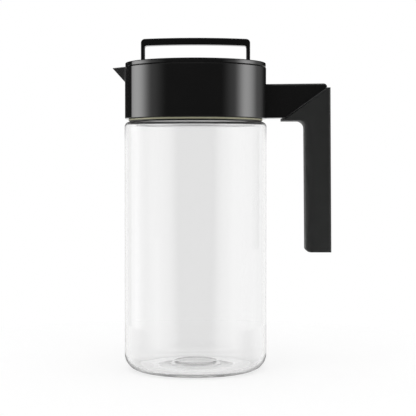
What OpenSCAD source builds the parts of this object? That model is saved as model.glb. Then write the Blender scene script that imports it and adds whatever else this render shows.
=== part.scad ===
// Iced tea pitcher: a clear vessel, a collar with a spout and a handle arm, a soft grip, and a lift-out
// lid with a folding bail. The origin is on the vessel's axis at the table, with +Z up, the spout
// towards -X and the handle towards +X. Lengths are millimetres.

/* [Vessel] */
// Outer diameter of the vessel
body_d = 114; // [112:0.5:124]
// Thickness of the vessel's side
body_wall = 2.5; // [2:0.1:3]
// Thickness of the vessel's floor
floor_t = 3.2; // [2.8:0.1:4]
// Height of the shoulder above the table
shoulder_z = 198.5; // [180:0.5:225]
// Radius of the shoulder's outer edge
shoulder_r = 4; // [3:0.25:4.5]
// Radius of the base's outer edge
base_r = 12; // [8:0.5:16]
// Inner diameter of the ring that the vessel stands on
foot_ring_d = 60; // [56:1:70]
// Depth of the hollow inside that ring
foot_recess = 1.2; // [0.8:0.1:1.6]
// Diameter of the raised disc in the floor
disc_d = 34; // [24:1:40]
// Height of the raised disc above the floor
disc_h = 3.6; // [2:0.2:5]
// Width of the slope round the raised disc
disc_slope = 4.2; // [3:0.2:6]

/* [Neck] */
// Step from the vessel's side in to its neck
neck_inset = 5; // [5:0.25:6]
// Height of the neck above the shoulder
neck_h = 27.5; // [26:0.5:30]
// Thickness of the neck's wall
neck_wall = 2.5; // [2:0.1:3]
// How far the snap bead stands out of the neck
bead_proud = 0.8; // [0.5:0.1:1]
// Height of the snap bead's underside above the shoulder
bead_z = 10.5; // [9:0.5:12]
// Height of the snap bead
bead_h = 3.5; // [2.5:0.5:4]

/* [Collar] */
// Thickness of the olive ring between the shoulder and the collar
collar_seal_t = 2.4; // [1.8:0.1:3.4]
// How far that ring lies inside the collar's outer face
collar_seal_inset = 2.9; // [1.8:0.1:3]
// Height of the collar
collar_h = 41; // [40:0.2:46]
// Thickness of the collar's wall
collar_wall = 2.4; // [1.8:0.1:2.8]
// Bevel on the collar's top edge
collar_bevel = 0.5; // [0.2:0.1:0.8]
// Height of the lip that closes the collar's bottom against the neck
lip_h = 2.2; // [1.6:0.2:3]
// Thickness of the liner inside the collar
liner_wall = 1.2; // [1:0.1:1.8]
// Thickness of the liner's flange over the neck's mouth
flange_t = 2; // [1.6:0.1:2.6]
// Thickness of the gasket on the neck's mouth
neck_gasket_t = 2; // [1.4:0.1:2.6]

/* [Spout] */
// Reach of the spout's tip beyond the collar
spout_reach = 10.3; // [8:0.1:14]
// Depth of the spout where its keel meets the collar
spout_depth = 11.4; // [9:0.2:12]
// Half of the spout's width where its rim meets the collar
spout_half_w = 15; // [12:0.5:18]
// Thickness of the spout's wall
spout_wall = 1.5; // [1.2:0.1:2]

/* [Lid] */
// How far the lid's rim lies inside the collar's outer face
lid_inset = 0.3; // [0.2:0.1:0.8]
// Height of the lid's rim
rim_h = 3.3; // [2.6:0.1:4]
// Thickness of the lid's top plate
plate_t = 2.2; // [1.8:0.1:2.4]
// Radius of the rim's upper edge
rim_r = 0.5; // [0.3:0.1:1]
// Dark seam between the collar and the rim
rim_seam = 0.4; // [0.2:0.1:0.8]
// Thickness of the lid's skirt
skirt_wall = 2; // [1.8:0.1:2.2]
// Height of the pour window's sill above the liner's flange
window_sill = 2.8; // [2.6:0.1:3.4]
// Height of the pour window
window_h = 7.5; // [6:0.5:8]
// Width of the pour window
window_w = 28; // [20:1:30]
// Turn of the lid from shut to pour
lid_turn = 90; // [60:5:90]
// Thickness of the pad that shuts the spout
pad_t = 1.2; // [0.8:0.1:1.4]
// How far the pad reaches past the spout's way, below and above
pad_margin = 0.4; // [0.2:0.1:0.5]
// Half of the pad's sweep round the lid
pad_half_a = 22; // [20:1:24]

/* [Plug] */
// Depth of the plug below the liner's flange
plug_h = 17; // [14:0.5:22]
// Thickness of the plug's wall
plug_wall = 2.4; // [2.2:0.1:3]
// Thickness of the plug's own flange
plug_flange_t = 1.2; // [1:0.1:1.6]
// Room between the plug and the neck
plug_gap = 0.5; // [0.4:0.1:0.8]
// Height of a seal ring
ring_h = 2.8; // [2:0.2:3.4]
// Height of the lower ring's groove above the plug's end
ring_foot = 1.5; // [1:0.1:2.5]
// Height of the plug's spigot inside the skirt
spigot_h = 1.2; // [0.8:0.1:1.3]
// Depth of the grooves that hold the seal rings
groove_t = 1.1; // [0.8:0.1:1.3]
// Distance from one seal ring to the next
ring_pitch = 6; // [5:0.5:7]
// Number of slots in the strainer
slots = 9; // [5:1:11]
// Width of a strainer slot
slot_w = 1.5; // [1:0.1:1.8]
// Thickness of the strainer
strainer_t = 1.3; // [1:0.1:1.6]
// How far the strainer reaches past the pour window
strainer_margin = 1; // [0.6:0.1:1.4]

/* [Bail] */
// Distance from the lid's rim to the bail's ends
bail_inset = 12.6; // [12.6:0.2:20]
// Height of the bail above the lid
bail_rise = 20.3; // [16:0.1:20.5]
// Height of the bail's bar
bail_bar_t = 5.5; // [3.5:0.1:6]
// Thickness of the bail's legs
bail_leg_t = 3; // [2:0.1:3.2]
// Depth of the bail from front to back
bail_depth = 9; // [7:0.2:9]
// Radius of the bail's outer corners
bail_corner = 3.3; // [2.5:0.1:5]
// Radius of the bail's inner corners
bail_fillet = 0.9; // [0.5:0.1:1.5]
// How much the bar is higher in its middle than at its ends
bail_crown = 1; // [0.4:0.1:1.4]
// Diameter of the pins that the bail turns on
pin_d = 3; // [2.4:0.1:3.4]
// How far the folded bail lies below the lid's top
bail_sink = 0.3; // [0.1:0.1:0.6]
// Room round the folded bail in the lid
bail_gap = 0.6; // [0.4:0.1:0.8]
// Thickness of the walls round the bail's recess
recess_wall = 1.5; // [1.2:0.1:1.8]
// Height of the finger scoop's floor above the recess's floor
scoop_rise = 2.6; // [1:0.2:4]
// Width of the finger scoop
scoop_w = 24; // [18:1:30]
// Length of the finger scoop from the bar's edge
scoop_l = 9; // [7:0.5:11]

/* [Handle] */
// Finger room between the vessel and the grip
finger_gap = 30.2; // [26:0.1:36]
// Thickness of the grip from its inner to its outer face
grip_t = 20.3; // [18:0.1:24]
// Width of the grip
grip_w = 26.6; // [25.6:0.2:30]
// Length of the grip below the arm's underside
grip_len = 107.1; // [90:0.1:120]
// How far the grip leans outward over its length
grip_lean = 0.9; // [0:0.1:3]
// How far the grip hangs below the arm's underside
grip_under = 2.1; // [1:0.1:3]
// How far the grip stands out past the arm's end
grip_step = 2.6; // [1.4:0.1:3]
// Radius of the grip's outer upright edges
grip_edge = 5; // [2:0.5:6]
// Radius of the corner between the arm and the grip
grip_corner = 6; // [4:0.5:9]
// Radius of the grip's lower inner edge
grip_foot_r = 2; // [1:0.5:4]
// Width of the arm
arm_w = 24; // [22:0.2:25]
// Height of the arm at the collar
arm_h = 27; // [24:0.2:28]
// Distance from the collar's top down to the arm's top
arm_drop = 13.5; // [12.5:0.1:15]
// Rise of the arm's top from the collar to its end
arm_rise = 0.6; // [0:0.1:2]
// Radius of the arm's long edges
arm_edge = 2; // [1:0.5:2.5]
// Radius of the arm's upper outer corner
arm_corner = 2.8; // [2:0.2:3.2]
// Upright height of the arm's end above the seam
arm_end_h = 3.3; // [3.2:0.1:4]
// Slope of the seam between the arm and the grip, in degrees
seam_a = 35.8; // [33:0.1:38]
// Width of the handle's core
core_w = 19.2; // [17:0.2:19.4]
// Thickness of the arm's walls round the core
arm_wall = 2.4; // [2:0.1:2.8]
// Thickness of the grip's inner and outer walls round the core
grip_skin = 3.4; // [2.8:0.1:4]
// Height of the grip's solid foot below the core
grip_foot_h = 4; // [3:0.5:8]
// Diameter of the handle screws
screw_d = 3; // [2.5:0.1:3.5]
// Length of the handle screws below their heads
screw_l = 14; // [10:0.5:18]
// Distance from one handle screw to the other
screw_pitch = 11; // [9:0.5:12]

/* [Hidden] */

// Smoothness of round surfaces, and the overrun of cuts past a face
$fn = 144;
over = 1;

// Clearances: between fixed rings, between parts that slide or turn, and between loose neighbours
fit_gap = 0.1;
ring_gap = 0.2;
loose_gap = 0.3;

// Vessel
body_r = body_d / 2;
foot_ring_r = foot_ring_d / 2;
disc_r = disc_d / 2;
neck_r = body_r - neck_inset;
neck_in_r = neck_r - neck_wall;
neck_top = shoulder_z + neck_h;
bead_r = neck_r + bead_proud;
bead_base = shoulder_z + bead_z;

// Collar: each ring is built outward from the neck's bead
liner_in_r = bead_r + fit_gap;
liner_r = liner_in_r + liner_wall;
collar_in_r = liner_r + ring_gap;
collar_r = collar_in_r + collar_wall;
collar_base = shoulder_z + collar_seal_t;
collar_top = collar_base + collar_h;
lip_top = collar_base + lip_h;
gasket_top = neck_top + neck_gasket_t;
flange_top = gasket_top + flange_t;
seat_z = collar_top + rim_seam;
snap_in_r = neck_r + loose_gap;
flange_in_r = neck_in_r + loose_gap;
seal_r = collar_r - collar_seal_inset;

// Lid: the skirt runs inside the liner's upper bore, which is as wide as the liner allows
bore_r = liner_r - liner_wall - bead_proud;
skirt_r = bore_r - loose_gap;
skirt_in_r = skirt_r - skirt_wall;
lid_r = collar_r - lid_inset;
lid_top = seat_z + rim_h;
plate_base = lid_top - plate_t;
plug_flange_base = flange_top + loose_gap;
skirt_base = plug_flange_base + plug_flange_t;
window_base = flange_top + window_sill;
window_top = window_base + window_h;
pad_r = bore_r - fit_gap;
pad_in_r = skirt_r - pad_t;
pad_base = window_base - pad_margin;
pad_top = seat_z - 2 * pad_margin;
window_a = 270;
spout_a = 180;

// Stop tab on the skirt, and the arc notch that it runs in
tab_a = 135;
tab_half_a = 3;
tab_slack_a = 0.5;
tab_h = 2.4;
tab_t = 1.4;
tab_r = skirt_r + tab_t;
notch_r = tab_r + loose_gap;
notch_base = seat_z - tab_h - loose_gap;

// Plug and its seal rings
plug_r = neck_in_r - plug_gap;
plug_in_r = plug_r - plug_wall;
plug_base = flange_top - plug_h;
groove_r = plug_r - groove_t;
ring_r = neck_in_r - fit_gap;
ring_in_r = groove_r + fit_gap;
groove_h = ring_h + ring_gap;
ring_z = [for (i = [0:1]) plug_base + ring_foot + i * ring_pitch];
spigot_r = skirt_in_r - ring_gap;
spigot_top = skirt_base + spigot_h;
strainer_top = window_top + strainer_margin;
strainer_half_a = asin((window_w / 2 + strainer_margin) / skirt_in_r);
slot_edge_a = 3;
slot_pitch_a = 2 * (strainer_half_a - slot_edge_a) / (slots - 1);

// Spout: a V-shaped beak whose keel runs down from the tip to the collar
tip_x = collar_r + spout_reach;
keel_a = atan2(spout_depth, spout_reach);
wing_run = tip_x - sqrt(pow(collar_r, 2) - pow(spout_half_w, 2));
v_slope = wing_run * sin(keel_a) / spout_half_w;
v_lift = spout_wall * sqrt(1 + pow(v_slope, 2));
keel_len = sqrt(pow(spout_depth, 2) + pow(spout_reach, 2));

// Bail, upright at rest, with its pivot just low enough for it to fold flush
bail_half = lid_r - bail_inset;
bail_top = lid_top + bail_rise;
pivot_z = lid_top - bail_depth / 2 - bail_sink;
bail_reach = bail_top - pivot_z;
leg_in = bail_half - bail_leg_t;
pin_r = pin_d / 2;
pin_in = leg_in - fit_gap;
pin_out = pad_in_r - loose_gap;
recess_floor = pivot_z - bail_depth / 2 - bail_gap;
recess_front = -bail_depth / 2 - bail_gap;
recess_back = bail_reach + bail_gap;
recess_half = bail_half + bail_gap;
recess_corner = bail_corner + bail_gap;
bar_front = bail_reach - bail_bar_t - bail_crown - bail_gap;
slot_in = leg_in - bail_gap;
scoop_floor = recess_floor + scoop_rise;

// Handle
arm_top = collar_top - arm_drop;
arm_base = arm_top - arm_h;
grip_in = body_r + finger_gap;
grip_out = grip_in + grip_t;
arm_end = grip_out - grip_step;
arm_root = collar_in_r - 1;
arm_end_top = arm_top + arm_rise;
seam_top = arm_end_top - arm_end_h;
grip_base = arm_base - grip_len;
grip_under_z = arm_base - grip_under;
core_root = collar_r + arm_wall;
core_base = arm_base + arm_wall;
core_top = arm_top - arm_wall;
core_foot = grip_base + grip_foot_h;
core_end = arm_end - arm_wall;
screw_r = screw_d / 2;
head_r = screw_d * 0.9;
head_h = screw_d * 0.5;
head_seat = collar_r;
screw_mid = (core_top + core_base) / 2;
arm_slope = atan2(arm_rise, arm_end - collar_r);

gloss_black = [0.06, 0.06, 0.06];
soft_grey = [0.2, 0.2, 0.2];
clear = [0.86, 0.9, 0.92, 0.35];
olive = [0.5, 0.5, 0.25];
silicone = [0.75, 0.75, 0.74];
steel = [0.7, 0.7, 0.72];

// Points on an arc about [x, z], from one angle to another, in so many steps
function arc(x, z, r, from, to, steps) =
    [for (i = [0:steps]) let (a = from + (to - from) * i / steps) [x + r * cos(a), z + r * sin(a)]];

// A flat ring about the vessel's axis, between two heights
module ring(inner, outer, base, top) {
    rotate_extrude()
        translate([inner, base])
            square([outer - inner, top - base]);
}

// Part of such a ring, round an angle
module ring_sector(inner, outer, base, top, middle, half) {
    rotate([0, 0, middle - half])
        rotate_extrude(angle = 2 * half)
            translate([inner, base])
                square([outer - inner, top - base]);
}

// Extrudes an outline drawn in X and Z, across a width in Y
module side_extrude(width) {
    rotate([90, 0, 0])
        linear_extrude(height = width, center = true)
            children();
}

module rounded_rect(width, depth, corner) {
    polygon(concat(
        arc(width / 2 - corner, depth / 2 - corner, corner, 0, 90, 4),
        arc(corner - width / 2, depth / 2 - corner, corner, 90, 180, 4),
        arc(corner - width / 2, corner - depth / 2, corner, 180, 270, 4),
        arc(width / 2 - corner, corner - depth / 2, corner, 270, 360, 4)));
}

module pitcher_body() {
    slope_t = floor_t - foot_recess;
    color(clear)
        rotate_extrude()
            polygon(concat(
                [[0, disc_h + foot_recess],
                 [disc_r - slope_t, disc_h + foot_recess],
                 [disc_r + disc_slope - slope_t, foot_recess],
                 [foot_ring_r - foot_recess, foot_recess],
                 [foot_ring_r, 0]],
                arc(body_r - base_r, base_r, base_r, 270, 360, 12),
                arc(body_r - shoulder_r, shoulder_z - shoulder_r, shoulder_r, 0, 90, 8),
                [[neck_r, shoulder_z],
                 [neck_r, bead_base],
                 [bead_r, bead_base + bead_proud],
                 [bead_r, bead_base + bead_h / 2],
                 [neck_r, bead_base + bead_h],
                 [neck_r, neck_top],
                 [neck_in_r, neck_top],
                 [neck_in_r, shoulder_z - body_wall]],
                arc(body_r - shoulder_r, shoulder_z - shoulder_r, shoulder_r - body_wall, 90, 0, 6),
                arc(body_r - base_r, floor_t + base_r - body_wall, base_r - body_wall, 360, 270, 10),
                [[disc_r + disc_slope, floor_t],
                 [disc_r, floor_t + disc_h],
                 [0, floor_t + disc_h]]));
}

module collar_seal() {
    color(olive)
        ring(neck_r + ring_gap, seal_r, shoulder_z, collar_base);
}

module neck_gasket() {
    color(silicone)
        ring(flange_in_r, liner_in_r, neck_top, gasket_top);
}

// The V of the spout, lifted off its keel, as a prism along that keel
module spout_prism(lift, length) {
    across = spout_half_w * 3;
    translate([-tip_x, 0, collar_top])
        rotate([0, 90 + keel_a, 0])
            rotate([0, 0, 90])
                linear_extrude(height = length)
                    translate([0, lift])
                        polygon([[0, 0], [across, across * v_slope], [-across, across * v_slope]]);
}

module spout() {
    intersection() {
        spout_prism(0, keel_len + 3);
        translate([-tip_x - over, -tip_x, collar_base])
            cube([tip_x, 2 * tip_x, collar_top - collar_base]);
    }
}

// The way that the tea takes out of the lid, through the liner and the collar
module pour_way() {
    intersection() {
        spout_prism(v_lift, keel_len * 2);
        translate([-tip_x - over, -tip_x, window_base - loose_gap])
            cube([tip_x - liner_in_r + spout_half_w, 2 * tip_x, collar_h]);
    }
}

// X of the seam between the arm and the grip, at a height
function seam_x(z) = arm_end - (seam_top - z) / tan(seam_a);

module arm() {
    intersection() {
        side_extrude(arm_w)
            polygon(concat(
                [[arm_root, arm_base - over],
                 [seam_x(arm_base - over), arm_base - over],
                 [arm_end, seam_top]],
                arc(arm_end - arm_corner, arm_end_top - arm_corner, arm_corner, 0, 90, 5),
                [[arm_root, arm_end_top + over]]));
        translate([0, 0, arm_base])
            rotate([90, 0, 90])
                linear_extrude(height = arm_end + over)
                    translate([0, arm_h])
                        rounded_rect(arm_w, 2 * arm_h, arm_edge);
        translate([collar_r, 0, arm_top])
            rotate([0, -arm_slope, 0])
                translate([-collar_r, 0, -arm_h])
                    rotate([90, 0, 90])
                        linear_extrude(height = arm_end * 2)
                            rounded_rect(arm_w + fit_gap, 2 * arm_h, arm_edge);
    }
}

// The handle's core from the side. A gap widens it into the hollow that it fits.
module core_outline(gap) {
    spine_in = grip_in + grip_skin;
    spine_out = grip_out - grip_skin;
    polygon([
        [core_root, core_base - gap],
        [spine_in - gap, core_base - gap],
        [spine_in + grip_lean - gap, core_foot - gap],
        [spine_out + grip_lean + gap, core_foot - gap],
        [spine_out + gap, core_base],
        [core_end + gap, core_top - arm_wall],
        [core_end - arm_wall + gap, core_top + gap],
        [core_root, core_top + gap]]);
}

module core_hollow() {
    side_extrude(core_w + 2 * ring_gap)
        core_outline(ring_gap);
}

// Puts one child at each handle screw, with +Z along the screw
module at_screws() {
    for (side = [-1, 1])
        translate([head_seat, 0, screw_mid + side * screw_pitch / 2])
            rotate([0, 90, 0])
                children();
}

module collar_shell() {
    color(gloss_black)
        difference() {
            union() {
                rotate_extrude()
                    polygon([[0, collar_base],
                        [collar_r - collar_bevel, collar_base],
                        [collar_r, collar_base + collar_bevel],
                        [collar_r, collar_top - collar_bevel],
                        [collar_r - collar_bevel, collar_top],
                        [0, collar_top]]);
                spout();
                arm();
            }
            translate([0, 0, lip_top])
                cylinder(r = collar_in_r, h = collar_h);
            translate([0, 0, collar_base - over])
                cylinder(r = snap_in_r, h = lip_h + 2 * over);
            pour_way();
            core_hollow();
            at_screws() {
                translate([0, 0, -2 * collar_wall - over])
                    cylinder(r = head_r + ring_gap, h = 2 * collar_wall + over);
                cylinder(r = screw_r + ring_gap, h = 2 * arm_wall);
            }
        }
}

module collar_liner() {
    color(gloss_black)
        difference() {
            rotate_extrude()
                polygon([[snap_in_r, lip_top],
                    [liner_r, lip_top],
                    [liner_r, seat_z],
                    [bore_r, seat_z],
                    [bore_r, flange_top],
                    [flange_in_r, flange_top],
                    [flange_in_r, gasket_top],
                    [liner_in_r, gasket_top],
                    [liner_in_r, bead_base - fit_gap],
                    [snap_in_r, bead_base - fit_gap - bead_proud]]);
            pour_way();
            ring_sector(bore_r - over, notch_r, notch_base, seat_z + over, tab_a - lid_turn / 2,
                lid_turn / 2 + tab_half_a + tab_slack_a);
        }
}

module handle_core() {
    color(soft_grey)
        difference() {
            side_extrude(core_w)
                core_outline(0);
            at_screws()
                cylinder(r = screw_r + fit_gap / 2, h = screw_l + over);
        }
}

module handle_grip() {
    color(soft_grey)
        difference() {
            intersection() {
                side_extrude(grip_w)
                    polygon(concat(
                        [[seam_x(grip_under_z), grip_under_z],
                         [arm_end, seam_top],
                         [grip_out, seam_top],
                         [grip_out, grip_under_z],
                         [grip_out + grip_lean, grip_base]],
                        arc(grip_in + grip_lean + grip_foot_r, grip_base + grip_foot_r, grip_foot_r, 270, 180, 5),
                        arc(grip_in - grip_corner, grip_under_z - grip_corner, grip_corner, 0, 90, 8)));
                translate([grip_out + grip_lean - body_r, 0, grip_base - over])
                    linear_extrude(height = arm_top - grip_base)
                        rounded_rect(body_d, grip_w + fit_gap, grip_edge);
            }
            core_hollow();
        }
}

module handle_screws() {
    color(steel)
        at_screws() {
            translate([0, 0, -head_h])
                cylinder(r = head_r, h = head_h);
            cylinder(r = screw_r, h = screw_l);
        }
}

// The folded bail's place in the lid, widened by a wall. The arms end where the legs' pivots are.
module bail_recess(wall, floor_z, top) {
    half = recess_half + wall;
    corner = recess_corner + wall;
    front = recess_front - wall;
    back = recess_back + wall;
    translate([0, 0, floor_z])
        linear_extrude(height = top - floor_z)
            difference() {
                polygon(concat(
                    [[-half, front], [half, front]],
                    arc(half - corner, back - corner, corner, 0, 90, 5),
                    arc(corner - half, back - corner, corner, 90, 180, 5)));
                translate([wall - slot_in, front - over])
                    square([2 * (slot_in - wall), bar_front - wall - front + over]);
            }
}

module scoop(wall, floor_z, top) {
    translate([-scoop_w / 2 - wall, bar_front - scoop_l - wall, floor_z])
        cube([scoop_w + 2 * wall, scoop_l + 2 * wall + over, top - floor_z]);
}

module lid_cap() {
    pin_boss = bail_depth;
    color(gloss_black)
        difference() {
            union() {
                rotate_extrude()
                    polygon(concat(
                        [[0, plate_base],
                         [skirt_in_r, plate_base],
                         [skirt_in_r, skirt_base],
                         [skirt_r, skirt_base],
                         [skirt_r, seat_z],
                         [lid_r - rim_r / 2, seat_z],
                         [lid_r, seat_z + rim_r / 2]],
                        arc(lid_r - rim_r, lid_top - rim_r, rim_r, 0, 90, 4),
                        [[0, lid_top]]));
                intersection() {
                    union() {
                        bail_recess(recess_wall, recess_floor - recess_wall, plate_base + over);
                        scoop(recess_wall, scoop_floor - recess_wall, plate_base + over);
                        for (side = [-1, 1])
                            translate([side * (recess_half + skirt_r) / 2, 0, (plate_base + recess_floor) / 2])
                                cube([skirt_r - recess_half, pin_boss, plate_base - recess_floor + over],
                                    center = true);
                    }
                    cylinder(r = skirt_r - fit_gap, h = lid_top);
                }
                ring_sector(skirt_r - over, tab_r, seat_z - tab_h, seat_z + over, tab_a, tab_half_a);
            }
            bail_recess(0, recess_floor, lid_top + over);
            scoop(0, scoop_floor, lid_top + over);
            translate([-window_w / 2, -skirt_r - over, window_base])
                cube([window_w, skirt_r / 2, window_h]);
            ring_sector(pad_in_r, skirt_r + over, pad_base, pad_top, spout_a, pad_half_a);
            for (side = [-1, 1])
                translate([side * (recess_half - over), 0, pivot_z])
                    rotate([0, side * 90, 0])
                        cylinder(r = pin_r + fit_gap / 2, h = skirt_r);
        }
}

module lid_plug() {
    color(gloss_black)
        rotate_extrude()
            polygon(concat(
                [[plug_in_r, plug_base],
                 [plug_r, plug_base]],
                [for (z = ring_z, p = [[plug_r, z], [groove_r, z], [groove_r, z + groove_h], [plug_r, z + groove_h]]) p],
                [[plug_r, plug_flange_base],
                 [skirt_r, plug_flange_base],
                 [skirt_r, skirt_base],
                 [spigot_r, skirt_base],
                 [spigot_r, spigot_top],
                 [plug_in_r, spigot_top]]));
}

module lid_gasket(index) {
    base = ring_z[index] + ring_gap / 2;
    bulge = ring_h / 4;
    color(silicone)
        rotate_extrude()
            polygon([[ring_in_r, base],
                [ring_r - bulge / 2, base],
                [ring_r, base + bulge],
                [ring_r, base + ring_h - bulge],
                [ring_r - bulge / 2, base + ring_h],
                [ring_in_r, base + ring_h]]);
}

module pour_strainer() {
    color(gloss_black)
        difference() {
            ring_sector(spigot_r - strainer_t, spigot_r, spigot_top, strainer_top, window_a, strainer_half_a);
            for (i = [0:slots - 1])
                rotate([0, 0, window_a - strainer_half_a + slot_edge_a + i * slot_pitch_a])
                    translate([spigot_r - strainer_t - over, -slot_w / 2, window_base])
                        cube([strainer_t + 2 * over, slot_w, window_h]);
        }
}

module spout_seal() {
    color(silicone)
        ring_sector(pad_in_r, pad_r, pad_base, pad_top, spout_a, pad_half_a);
}

module bail_handle() {
    crown_r = (pow(bail_half, 2) + pow(bail_crown, 2)) / (2 * bail_crown);
    bar_base = bail_top - bail_bar_t;
    leg_foot = pivot_z - bail_depth / 2;
    crown_steps = 12;
    crown_a = asin((bail_half - bail_corner) / crown_r);
    end_z = bail_top - crown_r + crown_r * cos(crown_a);
    inner_half = leg_in - bail_fillet;
    inner_a = asin(inner_half / crown_r);
    inner_z = bar_base - crown_r + crown_r * cos(inner_a);
    color(gloss_black)
        difference() {
            intersection() {
                side_extrude(bail_depth)
                    polygon(concat(
                        [[leg_in, leg_foot], [bail_half, leg_foot]],
                        arc(bail_half - bail_corner, end_z - bail_corner, bail_corner, 0, 85, 5),
                        arc(0, bail_top - crown_r, crown_r, 90 - crown_a, 90 + crown_a, crown_steps),
                        arc(bail_corner - bail_half, end_z - bail_corner, bail_corner, 95, 180, 5),
                        [[-bail_half, leg_foot], [-leg_in, leg_foot]],
                        arc(-inner_half, inner_z - bail_fillet, bail_fillet, 180, 95, 4),
                        arc(0, bar_base - crown_r, crown_r, 90 + inner_a, 90 - inner_a, crown_steps),
                        arc(inner_half, inner_z - bail_fillet, bail_fillet, 85, 0, 4)));
                union() {
                    translate([0, 0, pivot_z + bail_reach / 2])
                        cube([2 * bail_half + over, bail_depth, bail_reach], center = true);
                    translate([0, 0, pivot_z])
                        rotate([0, 90, 0])
                            cylinder(r = bail_depth / 2, h = 2 * bail_half + over, center = true);
                }
            }
            translate([0, 0, pivot_z])
                rotate([0, 90, 0])
                    cylinder(r = pin_r + fit_gap, h = 2 * bail_half + 2 * over, center = true);
        }
}

module bail_pin(side) {
    color(steel)
        translate([side * (pin_in + pin_out) / 2, 0, pivot_z])
            rotate([0, 90, 0])
                cylinder(r = pin_r, h = pin_out - pin_in, center = true);
}

module bail_pin_left() {
    bail_pin(-1);
}

module bail_pin_right() {
    bail_pin(1);
}

module lid_gasket_lower() {
    lid_gasket(0);
}

module lid_gasket_upper() {
    lid_gasket(1);
}

pitcher_body();
collar_seal();
neck_gasket();
collar_shell();
collar_liner();
handle_core();
handle_grip();
handle_screws();
lid_cap();
lid_plug();
lid_gasket_lower();
lid_gasket_upper();
pour_strainer();
spout_seal();
bail_handle();
bail_pin_left();
bail_pin_right();
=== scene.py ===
import math

import bmesh
import bpy
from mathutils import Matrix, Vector


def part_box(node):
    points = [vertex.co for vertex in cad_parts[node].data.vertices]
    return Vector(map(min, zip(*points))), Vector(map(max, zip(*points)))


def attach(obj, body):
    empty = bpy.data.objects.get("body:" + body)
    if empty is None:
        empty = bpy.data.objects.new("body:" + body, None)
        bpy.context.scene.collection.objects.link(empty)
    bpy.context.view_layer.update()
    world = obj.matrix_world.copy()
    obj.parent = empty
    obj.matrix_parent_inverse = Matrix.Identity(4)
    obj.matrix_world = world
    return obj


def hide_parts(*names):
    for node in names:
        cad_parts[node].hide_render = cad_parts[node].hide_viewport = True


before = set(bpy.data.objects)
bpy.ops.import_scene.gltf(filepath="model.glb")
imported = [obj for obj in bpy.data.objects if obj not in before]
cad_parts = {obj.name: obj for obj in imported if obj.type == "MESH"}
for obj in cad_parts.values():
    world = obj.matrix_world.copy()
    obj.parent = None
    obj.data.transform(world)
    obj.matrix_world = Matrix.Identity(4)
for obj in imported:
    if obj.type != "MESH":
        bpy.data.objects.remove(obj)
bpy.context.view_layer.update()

# Lengths below are millimetres, and MM turns them into Blender's metres.
MM = 0.001
IMAGE_PX = 416

# Outlines: the sine below which two edges count as one line, the smallest corner, the flat rim of a slab's
# sides, how far an upright wall may lean, the room between rows, and the steps of arcs and turns
NEARLY_STRAIGHT = 0.3
SMALLEST_R = 0.02
FLAT_RIM = 0.15
UPRIGHT = 0.001
ROW_GAP = 0.01
ARC_STEP = math.radians(9)
QUARTER_STEPS = 6
TURN_STEPS = 240

# Mesh clean-up, and the softened edges of the CAD nodes
MERGE_DIST = 0.002
SLIVER = 0.001
FLAT_ANGLE = math.radians(0.5)
SHARP_ANGLE = math.radians(35)
CAD_EDGE = 0.3


def span(node):
    """The lowest and highest corners of a CAD node, in millimetres."""
    low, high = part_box(node)
    return low / MM, high / MM


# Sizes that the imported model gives
VESSEL_HIGH = span("pitcher_body")[1]
SEAL_LOW, SEAL_HIGH = span("collar_seal")
COLLAR_LOW, COLLAR_HIGH = span("collar_shell")
LINER_LOW = span("collar_liner")[0]
GRIP_LOW, GRIP_HIGH = span("handle_grip")
CORE_LOW, CORE_HIGH = span("handle_core")
SCREWS_LOW, SCREWS_HIGH = span("handle_screws")
BAIL_LOW, BAIL_HIGH = span("bail_handle")
BODY_R = VESSEL_HIGH.x
SHOULDER_Z = SEAL_LOW.z
NECK_TOP = VESSEL_HIGH.z
COLLAR_BASE = COLLAR_LOW.z
COLLAR_TOP = COLLAR_HIGH.z
COLLAR_R = COLLAR_HIGH.y
TIP_X = -COLLAR_LOW.x
ARM_END = COLLAR_HIGH.x
LIP_TOP = LINER_LOW.z

# Vessel
BODY_WALL = 2.5
FLOOR_T = 3.2
SHOULDER_R = 4.0
SHOULDER_WALL = 2.5
SHOULDER_IN_R = 0.8
BASE_R = 12.0
FOOT_RING_R = 30.0
FOOT_RECESS = 1.2
DISC_R = 17.0
DISC_H = 3.6
DISC_SLOPE = 4.2
NECK_INSET = 5.0
BEAD_PROUD = 0.8
BEAD_BASE = 10.5
BEAD_H = 3.5
BEAD_EDGE = 0.3
BEAD_ROUND = 0.5
BEAD_RUNOUT = 0.8
NECK_EDGE = 0.6
NECK_CREASE = 0.4
NECK_IN_R = 1.0
FOOT_EASE = 8.0
DISC_EDGE = 1.5
DISC_UNDER_EDGE = 1.2

# Collar, spout and arm
COLLAR_WALL = 2.4
COLLAR_BEVEL = 0.5
COLLAR_EDGE = 0.3
COLLAR_STEPS = 200
SNAP_GAP = 0.3
SNAP_R = BODY_R - NECK_INSET + SNAP_GAP
SPOUT_DEPTH = 11.4
SPOUT_HALF_W = 15.0
SPOUT_WALL = 1.5
KEEL_ROUND = 0.7
SPOUT_FILLET = 0.8
SPOUT_BACKING = 0.6
SPOUT_RUNOUT = 3
SPOUT_ROWS = 32
SPOUT_HALF_ANGLE = math.radians(19)
SPOUT_STEPS = 120
SPOUT_SIDE_COS = 0.5
ARM_HALF_W = 12.0
ARM_ROOT_SHARE = 0.7
ARM_BASE = 201.4
ARM_TOP = 228.4
ARM_RISE = 0.6
ARM_EDGE = 2.0
ARM_CORNER = 2.8
ARM_END_H = 3.3
ARM_UNDER_EDGE = 0.5
ARM_SEAM_EDGE = 0.3
SEAM_SLOPE = math.radians(35.8)

# Seal
SEAL_LIP_T = 1.25
SEAL_LIP_DROP = 0.2
SEAL_LIP_PROUD = 0.7
SEAL_LIP_EDGE = 0.2
SEAL_CORE_EDGE = 0.1

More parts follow.
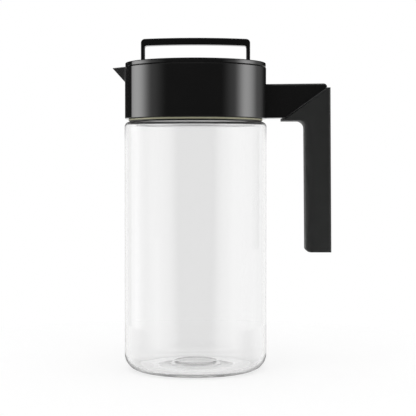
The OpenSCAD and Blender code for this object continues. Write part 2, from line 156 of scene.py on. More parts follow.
# Grip
GRIP_CORNER = 6.0
GRIP_LEAN = 0.9
GRIP_T = 20.3
GRIP_INNER_H = 105.0
GRIP_FOOT_R = 3.2
GRIP_STEP = 2.1
GRIP_SEAM_EDGE = 0.8
GRIP_OUTER_EDGE = 2.0
GRIP_INNER_EDGE = 6.0
GRIP_UNDER_EDGE = 1.2

# Core and screws inside the handle
CORE_WALL = 2.4
CORE_SKIN = 3.4
CORE_EDGE = 1.0
SCREW_PITCH = 11.0
SCREW_HEAD_H = 1.5
SCREW_HEAD_EDGE = 0.4
SCREW_UNDER_EDGE = 0.2
SCREW_R = 1.5
SCREW_STEPS = 36

# Bail
BAIL_BAR_T = 5.5
BAIL_LEG_T = 3.0
BAIL_CORNER = 3.3
BAIL_FILLET = 1.8
BAIL_CROWN = 1.0
BAIL_EDGE = 0.7
BAIL_STEPS = 8
BAIL_HALF_DEPTH = BAIL_HIGH.y
BAIL_PIVOT = BAIL_LOW.z + BAIL_HALF_DEPTH

# Bands of haze and shade on the clear plastic: above the table, and below the shoulder's top
FOOT_HAZE = (3, 8)
SHOULDER_HAZE = (3.5, 1.5)
SHOULDER_SHADE = (1.6, 0.4)

# Camera, fitted to the photograph: its place, its focal length and horizon in pixels, and its tilt
CAMERA_PLACE = (10, -972, 165.1)
FOCAL_PX = 1206
HORIZON_ROW = 163.6
TILT = math.radians(1)

# Softboxes over the azimuth, in degrees from the camera's side to the back, and over the height above the
# horizon: start, full, fade, gone and strength
LEFT_WIDE = (44, 79, 140, 150, 0.8)
LEFT_BOX = (73, 101, 103, 139, 3.65)
RIGHT_WIDE = (41, 68, 104, 152, 0.8)
RIGHT_BOX = (64, 88, 88, 121, 4.35)
BOX_HEIGHTS = (-34, -14, 5, 8, 1)

# Other parts of the studio over an angle in degrees: start, end, and the level at each
LEFT_CUT = (124.3, 128.3, 1, 0)
LOW_DOWN = (0.8, 2, 1, 0)
HELD_BACK = (108, 120, 0, 0.4)
BEHIND = (132, 150, 0, 0.85)
OVERHEAD = (45, 60, 0, 1)
BELOW = (-30, -10, 0.1, 0.02)
AMBIENT = 0.8

# Floor: its reach, and the glow mixed in so that it is white where nothing shades it
FLOOR_REACH = 300
FLOOR_WHITE = 1.153
FLOOR_GLOW_SHARE = 0.6


def rounded(corners):
    """A closed outline through corners (a, b, radius), each rounded by its radius."""
    points = []
    for i, (a, b, radius) in enumerate(corners):
        here = Vector((a, b))
        if radius == 0:
            points.append((a, b))
            continue
        to_last = (Vector(corners[i - 1][:2]) - here).normalized()
        to_next = (Vector(corners[(i + 1) % len(corners)][:2]) - here).normalized()
        half = to_last.angle(to_next) / 2
        centre = here + (to_last + to_next).normalized() * (radius / math.sin(half))
        start = here + to_last * (radius / math.tan(half)) - centre
        end = here + to_next * (radius / math.tan(half)) - centre
        turn = math.atan2(start.x * end.y - start.y * end.x, start.dot(end))
        steps = max(2, math.ceil(abs(turn) / ARC_STEP))
        first = math.atan2(start.y, start.x)
        for k in range(steps + 1):
            angle = first + turn * k / steps
            points.append((centre.x + radius * math.cos(angle), centre.y + radius * math.sin(angle)))
    return points


def with_rows(outline, rows):
    """The outline with points added where its upright walls pass each height."""
    points = []
    for i, (radius, height) in enumerate(outline):
        points.append((radius, height))
        after = outline[(i + 1) % len(outline)]
        if abs(after[0] - radius) < UPRIGHT:
            low, high = sorted((height, after[1]))
            passed = [row for row in rows if low + ROW_GAP < row < high - ROW_GAP]
            points += [(radius, row) for row in sorted(passed, reverse=after[1] < height)]
    return points


def evenly(start, end, steps):
    return [start + (end - start) * i / steps for i in range(steps)]


FULL_TURN = evenly(0, 2 * math.pi, TURN_STEPS)


def ring_mesh(loops, closed=True):
    """Vertices and faces of a skin over loops of equal length. The last loop joins the first if closed."""
    count = len(loops[0])
    verts = [v for loop in loops for v in loop]
    faces = []
    for i in range(len(loops) if closed else len(loops) - 1):
        one = i * count
        two = (i + 1) % len(loops) * count
        for j in range(count):
            k = (j + 1) % count
            faces.append((one + j, one + k, two + k, two + j))
    return verts, faces


def turned(outline, angles=FULL_TURN, push=None):
    """The skin of an outline of (radius, height) turned about +Z.

    push gives how far a point moves outward.
    """
    loops = []
    for angle in angles:
        loop = []
        for radius, height in outline:
            r = radius + (push(radius, height, angle) if push else 0)
            loop.append((r * math.cos(angle), r * math.sin(angle), height))
        loops.append(loop)
    return ring_mesh(loops)


def inset_corners(corners, insets):
    """The corners (a, b, radius) with each edge moved inward by its own inset.

    Edge i runs from corner i to the next.
    """
    count = len(corners)
    points = [Vector(corner[:2]) for corner in corners]
    area = sum(points[i - 1].x * points[i].y - points[i].x * points[i - 1].y for i in range(count))
    inward = 1 if area > 0 else -1
    normals = []
    for i in range(count):
        edge = points[(i + 1) % count] - points[i]
        normals.append(Vector((-edge.y, edge.x)).normalized() * inward)
    moved = []
    for i, (a, b, radius) in enumerate(corners):
        one, two = normals[i - 1], normals[i]
        d_one, d_two = insets[i - 1], insets[i]
        cross = one.x * two.y - one.y * two.x
        if abs(cross) < NEARLY_STRAIGHT:
            both = one + two
            shift = both * ((d_one + d_two) / both.length_squared)
        else:
            shift = Vector(((d_one * two.y - d_two * one.y) / cross, (one.x * d_two - two.x * d_one) / cross))
        if radius:
            outward = 1 if cross * inward > 0 else -1
            radius = max(radius - outward * (d_one + d_two) / 2, SMALLEST_R)
        moved.append((a + shift.x, b + shift.y, radius))
    return moved


def slab(corners, edges, half_w):
    """The skin of a rounded outline in X and Z, across Y. Edge i is softened by edges[i] towards both sides."""
    levels = {0.0}
    for soft in set(edges):
        turns = [math.radians(90 / QUARTER_STEPS * k) for k in range(QUARTER_STEPS + 1)]
        levels |= {round(half_w - soft * (1 - math.sin(turn)), 4) for turn in turns}
    levels = sorted(levels)
    loops = []
    for y in [-level for level in reversed(levels)] + levels[1:]:
        insets = []
        for soft in edges:
            rise = max(0.0, abs(y) - (half_w - soft))
            insets.append(soft - math.sqrt(max(0.0, soft ** 2 - rise ** 2)))
        loops.append([(x, y, z) for x, z in rounded(inset_corners(corners, insets))])
    flat = rounded(inset_corners(corners, [soft + FLAT_RIM for soft in edges]))
    loops = [[(x, -half_w, z) for x, z in flat]] + loops + [[(x, half_w, z) for x, z in flat]]
    verts, faces = ring_mesh(loops, closed=False)
    count = len(flat)
    faces.append(tuple(range(count)))
    faces.append(tuple(range(len(verts) - count, len(verts))))
    return verts, faces


def piece(name, skin, body, material, stands_for=()):
    """A closed mesh piece that rides on a body, from vertices in millimetres."""
    verts, faces = skin
    mesh = bpy.data.meshes.new(name)
    mesh.from_pydata([Vector(v) * MM for v in verts], [], faces)
    bm = bmesh.new()
    bm.from_mesh(mesh)
    bmesh.ops.remove_doubles(bm, verts=bm.verts, dist=MERGE_DIST * MM)
    bmesh.ops.dissolve_degenerate(bm, edges=bm.edges, dist=SLIVER * MM)
    large = [face for face in bm.faces if len(face.verts) > 4]
    bmesh.ops.triangulate(bm, faces=large, ngon_method="BEAUTY")
    bmesh.ops.recalc_face_normals(bm, faces=bm.faces)
    bm.to_mesh(mesh)
    bm.free()
    mesh.shade_smooth()
    mesh.materials.append(material)
    obj = bpy.data.objects.new(name, mesh)
    bpy.context.scene.collection.objects.link(obj)
    even_normals(obj)
    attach(obj, body)
    if stands_for:
        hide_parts(*stands_for)
    return obj


def even_normals(obj):
    modifier = obj.modifiers.new("even_normals", "WEIGHTED_NORMAL")
    modifier.weight = 80
    modifier.keep_sharp = True


# Materials


def new_material(name):
    """A material with a Principled shader, and the object's own coordinates in metres."""
    material = bpy.data.materials.new(name)
    material.use_nodes = True
    tree = material.node_tree
    shader = tree.nodes["Principled BSDF"]
    where = tree.nodes.new("ShaderNodeTexCoord").outputs["Object"]
    return material, tree, shader, where


def noise(tree, where, size, detail=3.0, stretch=(1, 1, 1)):
    """Noise whose features are about size millimetres across."""
    mapping = tree.nodes.new("ShaderNodeMapping")
    mapping.inputs["Scale"].default_value = stretch
    texture = tree.nodes.new("ShaderNodeTexNoise")
    texture.inputs["Scale"].default_value = 1 / (size * MM)
    texture.inputs["Detail"].default_value = detail
    tree.links.new(where, mapping.inputs["Vector"])
    tree.links.new(mapping.outputs["Vector"], texture.inputs["Vector"])
    return texture.outputs["Fac"]


def remap(tree, value, low, high, start=0.3, end=0.7):
    node = tree.nodes.new("ShaderNodeMapRange")
    node.inputs["From Min"].default_value = start
    node.inputs["From Max"].default_value = end
    node.inputs["To Min"].default_value = low
    node.inputs["To Max"].default_value = high
    tree.links.new(value, node.inputs["Value"])
    return node.outputs["Result"]


def calc(tree, operation, one, two=None):
    node = tree.nodes.new("ShaderNodeMath")
    node.operation = operation
    for socket, value in zip(node.inputs, (one, two)):
        if value is None:
            continue
        if isinstance(value, (int, float)):
            socket.default_value = value
        else:
            tree.links.new(value, socket)
    return node.outputs[0]


def blend_colours(tree, value, one, two, start=0.3, end=0.7):
    ramp = tree.nodes.new("ShaderNodeValToRGB")
    ramp.color_ramp.elements[0].position = start
    ramp.color_ramp.elements[0].color = (*one, 1)
    ramp.color_ramp.elements[1].position = end
    ramp.color_ramp.elements[1].color = (*two, 1)
    tree.links.new(value, ramp.inputs["Fac"])
    return ramp.outputs["Color"]


def greys(tree, value, stops):
    """Greys along a value, from stops of (value, grey)."""
    ramp = tree.nodes.new("ShaderNodeValToRGB")
    elements = ramp.color_ramp.elements
    while len(elements) < len(stops):
        elements.new(0.5)
    for element, (position, grey) in zip(elements, stops):
        element.position = position
        element.color = (grey, grey, grey, 1)
    tree.links.new(value, ramp.inputs["Fac"])
    return ramp.outputs["Color"]


def bump(tree, shader, height, depth, strength=1.0):
    """Bump of a real depth in millimetres."""
    node = tree.nodes.new("ShaderNodeBump")
    node.inputs["Strength"].default_value = strength
    node.inputs["Distance"].default_value = depth * MM
    tree.links.new(height, node.inputs["Height"])
    tree.links.new(node.outputs["Normal"], shader.inputs["Normal"])


def gloss_black():
    """Polished black plastic, with the faint flow and haze of a moulding."""
    material, tree, shader, where = new_material("gloss_black")
    flow = noise(tree, where, 26, 2, (1, 1, 0.6))
    haze = noise(tree, where, 3.5, 4)
    colour = blend_colours(tree, flow, (0.0072, 0.0072, 0.0072), (0.0088, 0.0088, 0.0087))
    tree.links.new(colour, shader.inputs["Base Color"])
    tree.links.new(remap(tree, haze, 0.035, 0.055), shader.inputs["Roughness"])
    shader.inputs["IOR"].default_value = 1.5
    bump(tree, shader, flow, 0.05, 0.15)
    return material


def soft_grip():
    """Matt soft-touch rubber with a fine even grain."""
    material, tree, shader, where = new_material("soft_grip")
    grain = noise(tree, where, 0.32, 2)
    cloud = noise(tree, where, 14, 3)
    colour = blend_colours(tree, cloud, (0.0155, 0.0163, 0.0157), (0.0193, 0.0202, 0.0195))
    tree.links.new(colour, shader.inputs["Base Color"])
    tree.links.new(remap(tree, cloud, 0.56, 0.64), shader.inputs["Roughness"])
    shader.inputs["IOR"].default_value = 1.45
    shader.inputs["Sheen Weight"].default_value = 0.12
    shader.inputs["Sheen Roughness"].default_value = 0.5
    bump(tree, shader, grain, 0.03, 0.5)
    return material


def clear_plastic():
    """Clear moulded plastic, polished, with haze at the foot, with haze and painted shade on the shoulder, and
    with painted reflection bands by the slant of its wall.

    Its thickness is in the mesh, so the light bends as it does in the vessel.
    """
    material, tree, shader, where = new_material("clear_plastic")
    cloud = noise(tree, where, 40, 2)
    axes = tree.nodes.new("ShaderNodeSeparateXYZ")
    tree.links.new(where, axes.inputs[0])
    height = axes.outputs["Z"]
    foot_haze = remap(tree, height, 0.2, 0, *[z * MM for z in FOOT_HAZE])
    shoulder_haze = remap(tree, height, 0, 0.5, *[(SHOULDER_Z - drop) * MM for drop in SHOULDER_HAZE])
    haze = calc(tree, "ADD", foot_haze, shoulder_haze)
    tree.links.new(calc(tree, "ADD", haze, remap(tree, cloud, 0, 0.004)), shader.inputs["Roughness"])
    # Painted reflection: greys by the slant of the wall darken the glass where the studio's dark flags would be
    # reflected, in a band where the wall faces the viewer and another partway to its edges.
    slant = tree.nodes.new("ShaderNodeLayerWeight").outputs["Facing"]
    painted_reflection_greys = greys(tree, slant, [
        (0.03, 0.875),
        (0.055, 0.925),
        (0.17, 0.965),
        (0.28, 0.9),
        (0.36, 0.905),
        (0.46, 0.975),
        (0.55, 1.0),
    ])
    shade = tree.nodes.new("ShaderNodeVectorMath")
    shade.operation = "SCALE"
    tree.links.new(painted_reflection_greys, shade.inputs[0])
    # Painted shade: the clear plastic darkens to almost black just under the shoulder's top, standing in for
    # the dark collar seen there.
    shoulder_shade = remap(tree, height, 1, 0.02, *[(SHOULDER_Z - drop) * MM for drop in SHOULDER_SHADE])
    tree.links.new(shoulder_shade, shade.inputs["Scale"])
    tree.links.new(shade.outputs[0], shader.inputs["Base Color"])
    shader.inputs["IOR"].default_value = 1.2
    shader.inputs["Transmission Weight"].default_value = 1.0
    return material


def silicone(name, one, two, roughness):
    """Moulded silicone rubber with a satin skin."""
    material, tree, shader, where = new_material(name)
    cloud = noise(tree, where, 5, 3)
    tree.links.new(blend_colours(tree, cloud, one, two), shader.inputs["Base Color"])
    spread = 0.05
    tree.links.new(remap(tree, cloud, roughness - spread, roughness + spread), shader.inputs["Roughness"])
    shader.inputs["IOR"].default_value = 1.41
    bump(tree, shader, noise(tree, where, 0.4, 2), 0.01, 0.4)
    return material


def steel():
    """Drawn stainless steel with fine lines along the pins and screws."""
    material, tree, shader, where = new_material("steel")
    lines = noise(tree, where, 0.5, 3, (0.1, 1, 1))
    colour = blend_colours(tree, lines, (0.5, 0.5, 0.51), (0.62, 0.62, 0.63))
    tree.links.new(colour, shader.inputs["Base Color"])
    tree.links.new(remap(tree, lines, 0.22, 0.34), shader.inputs["Roughness"])
    shader.inputs["Metallic"].default_value = 1.0
    bump(tree, shader, lines, 0.01, 0.3)
    return material


def core_plastic():
    """Glass-filled structural plastic, a little rough."""
    material, tree, shader, where = new_material("core_plastic")
    fibres = noise(tree, where, 0.7, 4, (1, 1, 0.25))
    colour = blend_colours(tree, fibres, (0.03, 0.03, 0.031), (0.045, 0.045, 0.046))
    tree.links.new(colour, shader.inputs["Base Color"])
    tree.links.new(remap(tree, fibres, 0.4, 0.55), shader.inputs["Roughness"])
    bump(tree, shader, fibres, 0.02, 0.4)
    return material


BLACK = gloss_black()
RUBBER = soft_grip()
CLEAR = clear_plastic()
OLIVE = silicone("olive_silicone", (0.54, 0.53, 0.36), (0.6, 0.59, 0.41), 0.42)
# Black silicone for the seal's core: where it shows below the olive lip it is a painted shade line.
PAINTED_SHADE_BLACK = silicone("painted_shade_silicone", (0.008, 0.008, 0.008), (0.012, 0.012, 0.012), 0.45)
PALE = silicone("silicone", (0.68, 0.68, 0.66), (0.76, 0.76, 0.745), 0.45)
STEEL = steel()
CORE = core_plastic()


# Pieces


def vessel():
    """The clear vessel: a cylinder with a rounded base, a raised disc in its floor, a shoulder and a neck."""
    neck_r = BODY_R - NECK_INSET
    neck_in = neck_r - BODY_WALL
    side_in = BODY_R - BODY_WALL
    bead_z = SHOULDER_Z + BEAD_BASE
    slope_t = FLOOR_T - FOOT_RECESS
    disc_top = FLOOR_T + DISC_H
    disc_under = FOOT_RECESS + DISC_H / 2
    outline = rounded([
        (0, disc_under, 0),
        (DISC_R - slope_t, disc_under, DISC_UNDER_EDGE),
        (DISC_R + DISC_SLOPE - slope_t, FOOT_RECESS, DISC_UNDER_EDGE),
        (FOOT_RING_R, 0, FOOT_EASE),
        (BODY_R, 0, BASE_R),
        (BODY_R, SHOULDER_Z, SHOULDER_R),
        (neck_r, SHOULDER_Z, NECK_CREASE),
        (neck_r, bead_z, BEAD_EDGE),
        (neck_r + BEAD_PROUD, bead_z + BEAD_PROUD, BEAD_EDGE),
        (neck_r + BEAD_PROUD, bead_z + BEAD_H / 2, BEAD_ROUND),
        (neck_r, bead_z + BEAD_H, BEAD_RUNOUT),
        (neck_r, NECK_TOP, NECK_EDGE),
        (neck_in, NECK_TOP, NECK_EDGE),
        (neck_in, SHOULDER_Z - SHOULDER_WALL, NECK_IN_R),
        (side_in, SHOULDER_Z - SHOULDER_WALL, SHOULDER_IN_R),
        (side_in, FLOOR_T, BASE_R - BODY_WALL),
        (DISC_R + DISC_SLOPE, FLOOR_T, DISC_EDGE),
        (DISC_R, disc_top, DISC_EDGE),
        (0, disc_top, 0),
    ])
    piece("vessel", turned(outline), "root", CLEAR, ["pitcher_body"])


def seal():
    """The seal between the shoulder and the collar: an olive lip round a black core, whose black below the lip
    is painted shade where the lip meets the shoulder.
    """
    core_r = SEAL_HIGH.x - SEAL_LIP_PROUD
    lip_top = SEAL_HIGH.z - SEAL_LIP_DROP
    lip_base = lip_top - SEAL_LIP_T
    lip = rounded([
        (core_r - SEAL_LIP_PROUD, lip_base, 0),
        (SEAL_HIGH.x, lip_base, SEAL_LIP_EDGE),
        (SEAL_HIGH.x, lip_top, SEAL_LIP_EDGE),
        (core_r - SEAL_LIP_PROUD, lip_top, 0),
    ])
    # The core is black so that its strip below the lip reads as painted shade.
    inside = rounded([
        (SNAP_R, SEAL_LOW.z, 0),
        (core_r, SEAL_LOW.z, SEAL_CORE_EDGE),
        (core_r, SEAL_HIGH.z, SEAL_CORE_EDGE),
        (SNAP_R, SEAL_HIGH.z, 0),
    ])
    piece("seal_lip", turned(lip), "root", OLIVE, ["collar_seal"])
    piece("seal_painted_shade_core", turned(inside), "root", PAINTED_SHADE_BLACK, ["collar_seal"])


def smooth_max(one, two, width):
    """The greater of two values, with the corner between them eased over a width."""
    near = max(width - abs(one - two), 0) / width
    return max(one, two) + near * near * width / 4


def beak_radius(height, angle, wall):
    """Distance from the axis to the V of the spout at a height, less a wall, along an angle from +X."""
    along = -math.cos(angle)
    if along <= SPOUT_SIDE_COS:
        return 0
    across = math.sqrt(math.sin(angle) ** 2 + (KEEL_ROUND / COLLAR_R) ** 2) - KEEL_ROUND / COLLAR_R
    wing_run = TIP_X - math.sqrt(COLLAR_R ** 2 - SPOUT_HALF_W ** 2)
    reach = TIP_X - COLLAR_R
    keel = TIP_X - (COLLAR_TOP - height) * reach / SPOUT_DEPTH
    return (keel - wall) / (along + wing_run / SPOUT_HALF_W * across)


def collar():
    """The glossy collar, with its wall pushed out into the spout's V."""
    inner = COLLAR_R - COLLAR_WALL
    rows = evenly(COLLAR_TOP - SPOUT_DEPTH - SPOUT_RUNOUT, COLLAR_TOP - COLLAR_BEVEL, SPOUT_ROWS)
    outline = with_rows(rounded([
        (SNAP_R, COLLAR_BASE, COLLAR_EDGE),
        (COLLAR_R, COLLAR_BASE, COLLAR_BEVEL),
        (COLLAR_R, COLLAR_TOP, COLLAR_BEVEL),
        (inner, COLLAR_TOP, COLLAR_EDGE),
        (inner, LIP_TOP, 0),
        (SNAP_R, LIP_TOP, 0),
    ]), rows)
    fine = evenly(math.pi - SPOUT_HALF_ANGLE, math.pi + SPOUT_HALF_ANGLE, SPOUT_STEPS)
    angles = evenly(-math.pi + SPOUT_HALF_ANGLE, math.pi - SPOUT_HALF_ANGLE, COLLAR_STEPS) + fine

    def push(radius, height, angle):
        if height < rows[0]:
            return 0
        share = min(1, max(0, (radius - inner) / COLLAR_WALL))
        slant_wall = SPOUT_WALL * math.hypot(1, (TIP_X - COLLAR_R) / SPOUT_HALF_W)
        out = smooth_max(COLLAR_R, beak_radius(height, angle, 0), SPOUT_FILLET) - COLLAR_R
        throat = beak_radius(height, angle, slant_wall + SPOUT_BACKING)
        hollow = smooth_max(inner, throat, SPOUT_FILLET) - inner
        return share * out + (1 - share) * hollow

    piece("collar", turned(outline, angles, push), "root", BLACK, ["collar_shell"])


def seam_x(height):
    """X of the seam between the arm and the grip at a height."""
    return ARM_END - (ARM_TOP + ARM_RISE - ARM_END_H - height) / math.tan(SEAM_SLOPE)


def arm():
    """The arm that carries the grip."""
    seam_top = ARM_TOP + ARM_RISE - ARM_END_H
    root = COLLAR_R - COLLAR_WALL * ARM_ROOT_SHARE
    corners = [
        (root, ARM_BASE, 0),
        (seam_x(ARM_BASE), ARM_BASE, 0),
        (ARM_END, seam_top, 0),
        (ARM_END, ARM_TOP + ARM_RISE, ARM_CORNER),
        (root, ARM_TOP, 0),
    ]
    edges = [ARM_UNDER_EDGE, ARM_SEAM_EDGE, ARM_EDGE, ARM_EDGE, ARM_SEAM_EDGE]
    handle = piece("arm", slab(corners, edges, ARM_HALF_W), "root", BLACK, ["collar_shell"])
    handle.visible_glossy = False


def grip():
    """The soft grip. Its edges are rounder on the inside of the hand than outside and along the seam."""
    top = GRIP_HIGH.z
    under = GRIP_LOW.z + GRIP_INNER_H
    outer = GRIP_HIGH.x - GRIP_LEAN
    inner = outer - GRIP_T
    step_x = seam_x(ARM_BASE) - GRIP_STEP
    corners = [
        (step_x, under, 0),
        (step_x, ARM_BASE, 0),
        (seam_x(ARM_BASE), ARM_BASE, 0),
        (ARM_END, top, 0),
        (outer, top, 0),
        (outer + GRIP_LEAN, GRIP_LOW.z, 0),
        (inner + GRIP_LEAN, GRIP_LOW.z, GRIP_FOOT_R),
        (inner, under, GRIP_CORNER),
    ]
    edges = [GRIP_SEAM_EDGE] * 4 + [GRIP_OUTER_EDGE, GRIP_UNDER_EDGE, GRIP_INNER_EDGE, GRIP_UNDER_EDGE]
    handle = piece("grip", slab(corners, edges, GRIP_HIGH.y), "root", RUBBER, ["handle_grip"])
    handle.visible_glossy = False


def core():
    """The stiff core that runs through the arm and down the grip."""
    leg_in = GRIP_HIGH.x - GRIP_LEAN - GRIP_T + CORE_SKIN
    leg_out = GRIP_HIGH.x - GRIP_LEAN - CORE_SKIN
    corners = [
        (CORE_LOW.x, ARM_BASE + CORE_WALL, 0),
        (leg_in, ARM_BASE + CORE_WALL, 0),
        (leg_in + GRIP_LEAN, CORE_LOW.z, CORE_EDGE),
        (leg_out + GRIP_LEAN, CORE_LOW.z, CORE_EDGE),
        (leg_out, CORE_HIGH.z, CORE_EDGE),
        (CORE_LOW.x, CORE_HIGH.z, 0),
    ]
    skin = slab(corners, [CORE_EDGE] * len(corners), CORE_HIGH.y)
    handle = piece("core", skin, "root", CORE, ["handle_core"])
    handle.visible_glossy = False


def screws():
    """Two screws from inside the collar into the core, one above the other."""
    head_r = (SCREWS_HIGH.z - SCREWS_LOW.z - SCREW_PITCH) / 2
    length = SCREWS_HIGH.x - SCREWS_LOW.x
    outline = rounded([
        (0, 0, 0),
        (head_r, 0, SCREW_HEAD_EDGE),
        (head_r, SCREW_HEAD_H, SCREW_UNDER_EDGE),
        (SCREW_R, SCREW_HEAD_H, 0),
        (SCREW_R, length - SCREW_R, 0),
        (SCREW_R / 4, length, 0),
        (0, length, 0),
    ])
    middle = (SCREWS_LOW.z + SCREWS_HIGH.z) / 2
    verts, faces = turned(outline, evenly(0, 2 * math.pi, SCREW_STEPS))
    for name, height in (("screw_low", middle - SCREW_PITCH / 2), ("screw_high", middle + SCREW_PITCH / 2)):
        placed = [(SCREWS_LOW.x + z, y, height - x) for x, y, z in verts]
        screw = piece(name, (placed, faces), "root", STEEL, ["handle_screws"])
        screw.visible_glossy = False


def bail():
    """The squared bail: a crowned bar on two thin legs, with every edge softened."""
    half = BAIL_HIGH.x
    top = BAIL_HIGH.z
    leg_in = half - BAIL_LEG_T
    crown_r = (half ** 2 + BAIL_CROWN ** 2) / (2 * BAIL_CROWN)

    def crown(x):
        return top - crown_r + math.sqrt(crown_r ** 2 - x ** 2)

    leg_rows = evenly(BAIL_LOW.z, BAIL_PIVOT, BAIL_STEPS) + [BAIL_PIVOT]
    right = [(leg_in, crown(leg_in) - BAIL_BAR_T, BAIL_FILLET)]
    right += [(leg_in, z, 0) for z in reversed(leg_rows)]
    right += [(half, z, 0) for z in leg_rows]
    right += [(half, crown(half), BAIL_CORNER)]
    bar = [(x, crown(x), 0) for x in evenly(half - 2 * BAIL_CORNER, 0, BAIL_STEPS)]
    under = [(x, crown(x) - BAIL_BAR_T, 0) for x in reversed(evenly(leg_in - 2 * BAIL_FILLET, 0, BAIL_STEPS))]
    side = under + right + bar
    corners = [(0, top - BAIL_BAR_T, 0)] + side + [(0, top, 0)]
    corners += [(-x, z, radius) for x, z, radius in reversed(side)]
    verts, faces = slab(corners, [BAIL_EDGE] * len(corners), BAIL_HALF_DEPTH)
    shaped = []
    for x, y, z in verts:
        drop = min(max(BAIL_PIVOT - z, 0) / BAIL_HALF_DEPTH, 1)
        shaped.append((x, y * math.sqrt(1 - drop * drop), z))
    piece("bail", (shaped, faces), "bail", BLACK, ["bail_handle"])


def finish_cad_nodes():
    """Gives the CAD nodes that stay their material and softened edges.

    The liner's open ring stays in triangles, because as one large face it would be filled across its opening.
    """
    in_triangles = ["collar_liner"]
    finishes = {
        "neck_gasket": PALE,
        "collar_liner": BLACK,
        "lid_cap": BLACK,
        "lid_plug": BLACK,
        "lid_gasket_lower": PALE,
        "lid_gasket_upper": PALE,
        "pour_strainer": BLACK,
        "spout_seal": PALE,
        "bail_pin_left": STEEL,
        "bail_pin_right": STEEL,
    }
    for name, material in finishes.items():
        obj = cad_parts[name]
        for slot in obj.material_slots:
            slot.material = material
        weld = obj.modifiers.new("weld", "WELD")
        weld.merge_threshold = SLIVER * MM
        if name not in in_triangles:
            flatten = obj.modifiers.new("flatten", "DECIMATE")
            flatten.decimate_type = "DISSOLVE"
            flatten.angle_limit = FLAT_ANGLE
        soften = obj.modifiers.new("soften", "BEVEL")
        soften.width = CAD_EDGE * MM
        soften.segments = 2
        soften.limit_method = "ANGLE"
        soften.angle_limit = SHARP_ANGLE
        even_normals(obj)


# Camera, light and floor


def camera():
    """The photograph's view: almost level, in front of the vessel's axis and a little below the collar."""
    data = bpy.data.cameras.new("camera")
    data.sensor_width = 36
    data.lens = data.sensor_width * FOCAL_PX / IMAGE_PX
    data.shift_y = (HORIZON_ROW - IMAGE_PX / 2 + FOCAL_PX * math.tan(TILT)) / IMAGE_PX
    data.clip_start = 0.05
    data.clip_end = 50
    view = bpy.data.objects.new("camera", data)
    view.location = Vector(CAMERA_PLACE) * MM
    view.rotation_euler = (math.radians(90) - TILT, 0, 0)
    bpy.context.scene.collection.objects.link(view)
    bpy.context.scene.camera = view


def eased(tree, value, start, end, low=0.0, high=1.0):
    node = tree.nodes.new("ShaderNodeMapRange")
    node.interpolation_type = "SMOOTHSTEP"
    node.inputs["From Min"].default_value = start
    node.inputs["From Max"].default_value = end
    node.inputs["To Min"].default_value = low
    node.inputs["To Max"].default_value = high
    tree.links.new(value, node.inputs["Value"])
    return node.outputs["Result"]


def glow(tree, angle, start, full, fade, gone, strength):
    """Light over an angle in degrees, eased in from start to full, and out from fade to gone."""
    lit = calc(tree, "MULTIPLY", eased(tree, angle, start, full), eased(tree, angle, fade, gone, 1, 0))
    return calc(tree, "MULTIPLY", lit, strength)


def studio():
    """White for the camera and through clear plastic, softboxes and a dark gap for gloss, and an even glow.

    Low down, where only the clear vessel reflects it, the left softbox is held back and the back is lit.
    """
    world = bpy.data.worlds.new("studio")
    bpy.context.scene.world = world
    world.use_nodes = True
    tree = world.node_tree
    background = tree.nodes["Background"]
    background.inputs["Color"].default_value = (1, 1, 1, 1)
    path = tree.nodes.new("ShaderNodeLightPath")
    where = tree.nodes.new("ShaderNodeTexCoord")
    axes = tree.nodes.new("ShaderNodeSeparateXYZ")
    tree.links.new(where.outputs["Generated"], axes.inputs[0])
    x, y, z = axes.outputs
    front = calc(tree, "MULTIPLY", y, -1)
    side = calc(tree, "ABSOLUTE", x)
    azimuth = calc(tree, "DEGREES", calc(tree, "ARCTAN2", side, front))
    height = calc(tree, "DEGREES", calc(tree, "ARCSINE", z))
    wide_left = calc(tree, "ADD", glow(tree, azimuth, *LEFT_WIDE), glow(tree, azimuth, *LEFT_BOX))
    low_down = eased(tree, height, *LOW_DOWN)
    held_back = calc(tree, "MULTIPLY", eased(tree, azimuth, *HELD_BACK), low_down)
    left = calc(tree, "MULTIPLY", wide_left, eased(tree, azimuth, *LEFT_CUT))
    left = calc(tree, "MULTIPLY", left, calc(tree, "SUBTRACT", 1, held_back))
    right = calc(tree, "ADD", glow(tree, azimuth, *RIGHT_WIDE), glow(tree, azimuth, *RIGHT_BOX))
    is_right = calc(tree, "GREATER_THAN", x, 0)
    boxes = tree.nodes.new("ShaderNodeMix")
    tree.links.new(is_right, boxes.inputs["Factor"])
    tree.links.new(left, boxes.inputs["A"])
    tree.links.new(right, boxes.inputs["B"])
    beside = calc(tree, "MULTIPLY", boxes.outputs["Result"], glow(tree, height, *BOX_HEIGHTS))
    overhead = eased(tree, height, *OVERHEAD)
    below = eased(tree, height, *BELOW)
    behind = calc(tree, "MULTIPLY", eased(tree, azimuth, *BEHIND), low_down)
    around = calc(tree, "ADD", beside, behind)
    glossy = calc(tree, "ADD", calc(tree, "ADD", around, overhead), below)
    seen = calc(tree, "MAXIMUM", path.outputs["Is Camera Ray"], path.outputs["Is Transmission Ray"])
    above_ambient = calc(tree, "SUBTRACT", glossy, AMBIENT)
    level = calc(tree, "ADD", calc(tree, "MULTIPLY", above_ambient, path.outputs["Is Glossy Ray"]), AMBIENT)
    shown = tree.nodes.new("ShaderNodeMix")
    tree.links.new(seen, shown.inputs["Factor"])
    tree.links.new(level, shown.inputs["A"])
    shown.inputs["B"].default_value = 1.0
    tree.links.new(shown.outputs["Result"], background.inputs["Strength"])


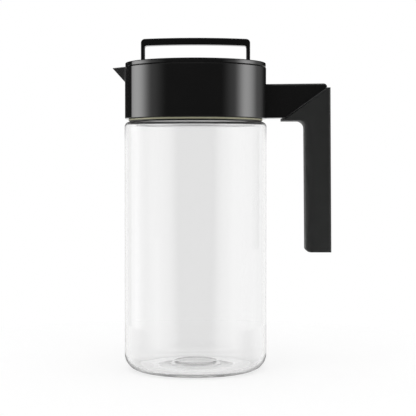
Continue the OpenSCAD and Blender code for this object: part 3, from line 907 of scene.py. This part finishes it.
def lamp(name, place, aim, size, power):
    data = bpy.data.lights.new(name, "AREA")
    data.shape = "RECTANGLE"
    data.size, data.size_y = size
    data.energy = power
    lamp_object = bpy.data.objects.new(name, data)
    lamp_object.location = place
    lamp_object.rotation_euler = (Vector(aim) - Vector(place)).to_track_quat("-Z", "Y").to_euler()
    lamp_object.visible_glossy = False
    lamp_object.visible_camera = False
    lamp_object.visible_transmission = False
    bpy.context.scene.collection.objects.link(lamp_object)


def floor():
    """A pale floor that holds the shadow and is white where nothing shades it."""
    mesh = bpy.data.meshes.new("floor")
    reach = FLOOR_REACH * MM
    rim = [(reach * math.cos(angle), reach * math.sin(angle), 0) for angle in FULL_TURN]
    mesh.from_pydata(rim, [], [tuple(range(len(rim)))])
    material = bpy.data.materials.new("floor")
    material.use_nodes = True
    tree = material.node_tree
    shader = tree.nodes["Principled BSDF"]
    where = tree.nodes.new("ShaderNodeTexCoord").outputs["Object"]
    colour = blend_colours(tree, noise(tree, where, 60), (0.84, 0.84, 0.84), (0.86, 0.86, 0.86))
    tree.links.new(colour, shader.inputs["Base Color"])
    shader.inputs["Roughness"].default_value = 0.9
    shader.inputs["Specular IOR Level"].default_value = 0.1
    path = tree.nodes.new("ShaderNodeLightPath")
    seen = calc(tree, "MAXIMUM", path.outputs["Is Camera Ray"], path.outputs["Is Transmission Ray"])
    white = tree.nodes.new("ShaderNodeEmission")
    white.inputs["Strength"].default_value = FLOOR_WHITE
    mix = tree.nodes.new("ShaderNodeMixShader")
    tree.links.new(calc(tree, "MULTIPLY", seen, FLOOR_GLOW_SHARE), mix.inputs["Fac"])
    tree.links.new(shader.outputs["BSDF"], mix.inputs[1])
    tree.links.new(white.outputs["Emission"], mix.inputs[2])
    tree.links.new(mix.outputs["Shader"], tree.nodes["Material Output"].inputs["Surface"])
    mesh.materials.append(material)
    obj = bpy.data.objects.new("floor", mesh)
    bpy.context.scene.collection.objects.link(obj)


camera()
studio()
lamp("top_light", place=(0, -0.6, 1.7), aim=(0, 0, 0.12), size=(1.4, 1.4), power=6)
floor()
vessel()
seal()
collar()
arm()
grip()
core()
screws()
bail()
finish_cad_nodes()
bpy.context.scene.view_settings.view_transform = "Standard"
